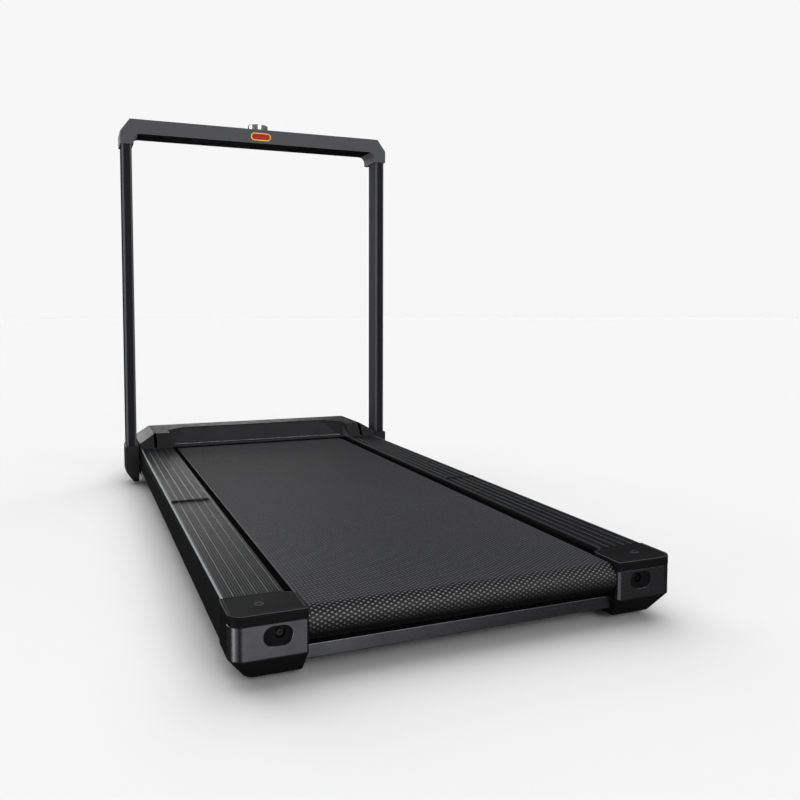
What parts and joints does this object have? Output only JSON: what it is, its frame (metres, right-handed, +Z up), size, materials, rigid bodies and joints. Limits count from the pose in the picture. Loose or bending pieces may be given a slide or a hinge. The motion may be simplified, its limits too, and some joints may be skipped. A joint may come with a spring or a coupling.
{
  "type": "folding treadmill",
  "caption": "Low folding treadmill: a two-part running deck hinged across its middle, a motor hood, and a handrail frame with a dial and a pull-off safety key that swings down onto the deck.",
  "frame": {"origin": "middle of the footprint on the floor, with the deck unfolded and the handrail up", "axes": "+Z up, +Y along the deck towards the handrail and motor hood, +X to the runner's right"},
  "size_m": [0.732, 1.39, 0.9648],
  "materials": {
    "cover_plastic": "fine-grained satin, dark grey",
    "black_plastic": "satin black",
    "pan_plastic": "matt black",
    "gloss_panel": "gloss black",
    "graphite_plate": "brushed graphite",
    "frame_paint": "powder coated black",
    "tube_paint": "satin black paint",
    "bare_steel": "brushed",
    "chrome": "polished",
    "rubber": "matt black",
    "belt_rubber": "raised diamond dot texture",
    "board": "waxed black laminate",
    "cast_metal": "cast",
    "yellow_plastic": "gloss yellow",
    "red_plastic": "gloss red"
  },
  "bodies": {
    "base": {"front_side_frame_left": "frame_paint", "front_side_frame_right": "frame_paint", "front_deck_board": "board", "running_belt_front": "belt_rubber", "front_roller_axle": "bare_steel", "front_rail_cover_left": "cover_plastic", "front_rail_cover_right": "cover_plastic", "fold_hinge_front_left": "frame_paint", "fold_hinge_front_right": "frame_paint", "middle_foot_left": "rubber", "middle_foot_right": "rubber", "motor_hood": "cover_plastic", "hood_panel": "gloss_panel", "hood_trim_strip": "bare_steel", "base_pan": "pan_plastic", "front_foot_left": "rubber", "front_foot_right": "rubber", "motor_housing": "pan_plastic", "motor_end_bell": "cast_metal", "drive_belt": "rubber", "controller_box": "cast_metal", "power_inlet": "black_plastic", "handrail_pivot_left": "bare_steel", "handrail_pivot_right": "bare_steel"},
    "rear_deck": {"rear_side_frame_left": "frame_paint", "rear_side_frame_right": "frame_paint", "rear_cross_bar": "graphite_plate", "rear_deck_board": "board", "rear_roller_axle": "bare_steel", "running_belt_rear": "belt_rubber", "rear_rail_cover_left": "cover_plastic", "rear_rail_cover_right": "cover_plastic", "fold_hinge_rear_left": "frame_paint", "fold_hinge_rear_right": "frame_paint", "end_cap_left": "black_plastic", "end_cap_right": "black_plastic", "end_plate_left": "graphite_plate", "end_plate_right": "graphite_plate", "belt_tension_bolt_left": "bare_steel", "belt_tension_bolt_right": "bare_steel", "rear_foot_left": "rubber", "rear_foot_right": "rubber"},
    "rear_roller": {"rear_roller": "bare_steel"},
    "front_roller": {"front_roller": "bare_steel", "roller_pulley": "cast_metal"},
    "motor_rotor": {"motor_rotor": "bare_steel", "motor_pulley": "cast_metal"},
    "wheel_left": {"transport_wheel_left": "rubber"},
    "wheel_right": {"transport_wheel_right": "rubber"},
    "switch_rocker": {"power_switch": "red_plastic"},
    "handrail": {"handrail_arm_left": "black_plastic", "handrail_arm_right": "black_plastic", "handrail_tube_left": "tube_paint", "handrail_tube_right": "tube_paint", "handrail_crossbar": "cover_plastic", "crossbar_underside": "black_plastic", "safety_key_socket": "yellow_plastic"},
    "knob_shaft": {"knob_shaft": "bare_steel"},
    "control_knob": {"control_knob": "chrome"},
    "safety_key": {"safety_key": "red_plastic"}
  },
  "joints": [
    {"name": "deck_fold", "type": "hinge", "parent": "base", "child": "rear_deck", "pos_m": [0, -0.105, 0.0936], "axis": [-1, 0, 0], "range_deg": [0, 180]},
    {"name": "handrail_fold", "type": "hinge", "parent": "base", "child": "handrail", "pos_m": [0, 0.533, 0.052], "axis": [1, 0, 0], "range_deg": [0, 84]},
    {"name": "front_roller_spin", "type": "hinge", "parent": "base", "child": "front_roller", "pos_m": [0, 0.567, 0.0655], "axis": [1, 0, 0], "continuous": true},
    {"name": "rear_roller_spin", "type": "hinge", "parent": "rear_deck", "child": "rear_roller", "pos_m": [0, -0.669, 0.0655], "axis": [1, 0, 0], "continuous": true},
    {"name": "motor_spin", "type": "hinge", "parent": "base", "child": "motor_rotor", "pos_m": [0, 0.64, 0.066], "axis": [1, 0, 0], "continuous": true},
    {"name": "wheel_left_spin", "type": "hinge", "parent": "base", "child": "wheel_left", "pos_m": [-0.296, 0.657, 0.025], "axis": [1, 0, 0], "continuous": true},
    {"name": "wheel_right_spin", "type": "hinge", "parent": "base", "child": "wheel_right", "pos_m": [0.296, 0.657, 0.025], "axis": [1, 0, 0], "continuous": true},
    {"name": "switch_rock", "type": "hinge", "parent": "base", "child": "switch_rocker", "pos_m": [-0.18, 0.689, 0.062], "axis": [0, 0, 1], "range_deg": [0, 20]},
    {"name": "knob_press", "type": "slide", "parent": "handrail", "child": "knob_shaft", "axis": [0, 0, -1], "range_m": [0, 0.002], "stiffness_N_per_m": 2500, "springref_m": -0.003},
    {"name": "knob_turn", "type": "hinge", "parent": "knob_shaft", "child": "control_knob", "pos_m": [0, 0.545, 0.96], "axis": [0, 0, 1], "continuous": true},
    {"name": "key_pull", "type": "slide", "parent": "handrail", "child": "safety_key", "axis": [0, -1, 0], "range_m": [0, 0.012]}
  ],
  "couplings": [
    {"joint": "rear_roller_spin", "follows": "front_roller_spin", "ratio": 1},
    {"joint": "motor_spin", "follows": "front_roller_spin", "ratio": 1.9286}
  ]
}
